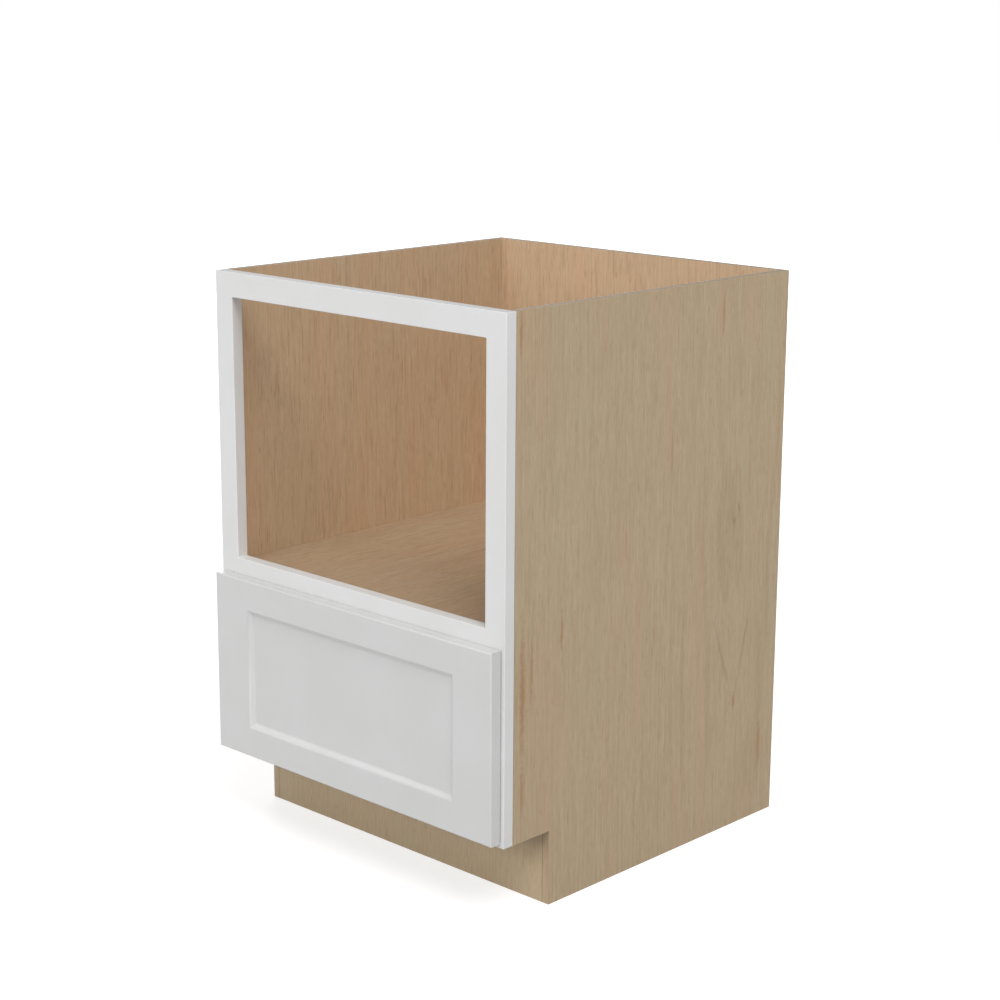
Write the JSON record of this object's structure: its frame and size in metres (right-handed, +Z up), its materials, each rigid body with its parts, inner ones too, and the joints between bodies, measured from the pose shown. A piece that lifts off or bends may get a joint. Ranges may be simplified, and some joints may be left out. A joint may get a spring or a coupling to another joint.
{
  "type": "microwave cabinet",
  "caption": "Face-frame base cabinet, open at the top, with an open microwave bay above a wide drawer on full-extension runners.",
  "frame": {"origin": "centre of the footprint of the closed cabinet, drawer front included, on the floor", "axes": "+X to the right seen from the front, +Y towards the wall behind, +Z up; the drawer opens towards -Y"},
  "size_m": [0.6096, 0.6486, 0.8763],
  "materials": {
    "white_paint": "satin white lacquer on solid wood",
    "maple_ply": "clear-coated natural maple veneer plywood",
    "drawer_maple": "clear-coated solid maple",
    "zinc_steel": "zinc-plated rolled steel",
    "retainer_steel": "plain steel strip",
    "screw_steel": "zinc-plated",
    "bumper_plastic": "soft clear polyurethane"
  },
  "bodies": {
    "cabinet": {"side_panel_left": "maple_ply", "side_panel_right": "maple_ply", "back_panel": "maple_ply", "microwave_shelf": "maple_ply", "cabinet_floor": "maple_ply", "toe_kick_board": "maple_ply", "toe_corner_block_left": "maple_ply", "toe_corner_block_right": "maple_ply", "frame_stile_left": "white_paint", "frame_stile_right": "white_paint", "frame_top_rail": "white_paint", "frame_middle_rail": "white_paint", "frame_bottom_rail": "white_paint", "runner_cabinet_member_left": "zinc_steel", "runner_cabinet_member_right": "zinc_steel", "runner_rear_bracket_left": "zinc_steel", "runner_rear_bracket_right": "zinc_steel", "stile_screw_left_1": "screw_steel", "stile_screw_left_2": "screw_steel", "stile_screw_right_1": "screw_steel", "stile_screw_right_2": "screw_steel", "bracket_screw_left_1": "screw_steel", "bracket_screw_left_2": "screw_steel", "bracket_screw_right_1": "screw_steel", "bracket_screw_right_2": "screw_steel", "runner_link_screw_left": "screw_steel", "runner_link_screw_right": "screw_steel"},
    "drawer": {"drawer_front_stile_left": "white_paint", "drawer_front_stile_right": "white_paint", "drawer_front_rail_top": "white_paint", "drawer_front_rail_bottom": "white_paint", "drawer_front_panel": "white_paint", "bumper_lower_left": "bumper_plastic", "bumper_lower_right": "bumper_plastic", "bumper_upper_left": "bumper_plastic", "bumper_upper_right": "bumper_plastic", "drawer_box_front": "drawer_maple", "drawer_box_back": "drawer_maple", "drawer_box_side_left": "drawer_maple", "drawer_box_side_right": "drawer_maple", "drawer_bottom": "drawer_maple", "drawer_front_screw_left_1": "screw_steel", "drawer_front_screw_left_2": "screw_steel", "drawer_front_screw_right_1": "screw_steel", "drawer_front_screw_right_2": "screw_steel", "runner_drawer_member_left": "zinc_steel", "runner_drawer_member_right": "zinc_steel", "drawer_side_screw_left_1": "screw_steel", "drawer_side_screw_left_2": "screw_steel", "drawer_side_screw_right_1": "screw_steel", "drawer_side_screw_right_2": "screw_steel"},
    "middle_member_left": {"runner_middle_member_left": "zinc_steel"},
    "middle_member_right": {"runner_middle_member_right": "zinc_steel"},
    "outer_retainer_left": {"runner_outer_retainer_left": "retainer_steel"},
    "outer_retainer_right": {"runner_outer_retainer_right": "retainer_steel"},
    "inner_retainer_left": {"runner_inner_retainer_left": "retainer_steel"},
    "inner_retainer_right": {"runner_inner_retainer_right": "retainer_steel"}
  },
  "joints": [
    {"name": "drawer_slide", "type": "slide", "parent": "cabinet", "child": "drawer", "axis": [0, -1, 0], "range_m": [0, 0.5588]},
    {"name": "middle_slide_left", "type": "slide", "parent": "cabinet", "child": "middle_member_left", "axis": [0, -1, 0], "range_m": [0, 0.2794]},
    {"name": "middle_slide_right", "type": "slide", "parent": "cabinet", "child": "middle_member_right", "axis": [0, -1, 0], "range_m": [0, 0.2794]},
    {"name": "outer_retainer_slide_left", "type": "slide", "parent": "cabinet", "child": "outer_retainer_left", "axis": [0, -1, 0], "range_m": [0, 0.1397]},
    {"name": "outer_retainer_slide_right", "type": "slide", "parent": "cabinet", "child": "outer_retainer_right", "axis": [0, -1, 0], "range_m": [0, 0.1397]},
    {"name": "inner_retainer_slide_left", "type": "slide", "parent": "cabinet", "child": "inner_retainer_left", "axis": [0, -1, 0], "range_m": [0, 0.4191]},
    {"name": "inner_retainer_slide_right", "type": "slide", "parent": "cabinet", "child": "inner_retainer_right", "axis": [0, -1, 0], "range_m": [0, 0.4191]}
  ],
  "couplings": [
    {"joint": "middle_slide_left", "follows": "drawer_slide", "ratio": 0.5},
    {"joint": "middle_slide_right", "follows": "drawer_slide", "ratio": 0.5},
    {"joint": "outer_retainer_slide_left", "follows": "drawer_slide", "ratio": 0.25},
    {"joint": "outer_retainer_slide_right", "follows": "drawer_slide", "ratio": 0.25},
    {"joint": "inner_retainer_slide_left", "follows": "drawer_slide", "ratio": 0.75},
    {"joint": "inner_retainer_slide_right", "follows": "drawer_slide", "ratio": 0.75}
  ]
}
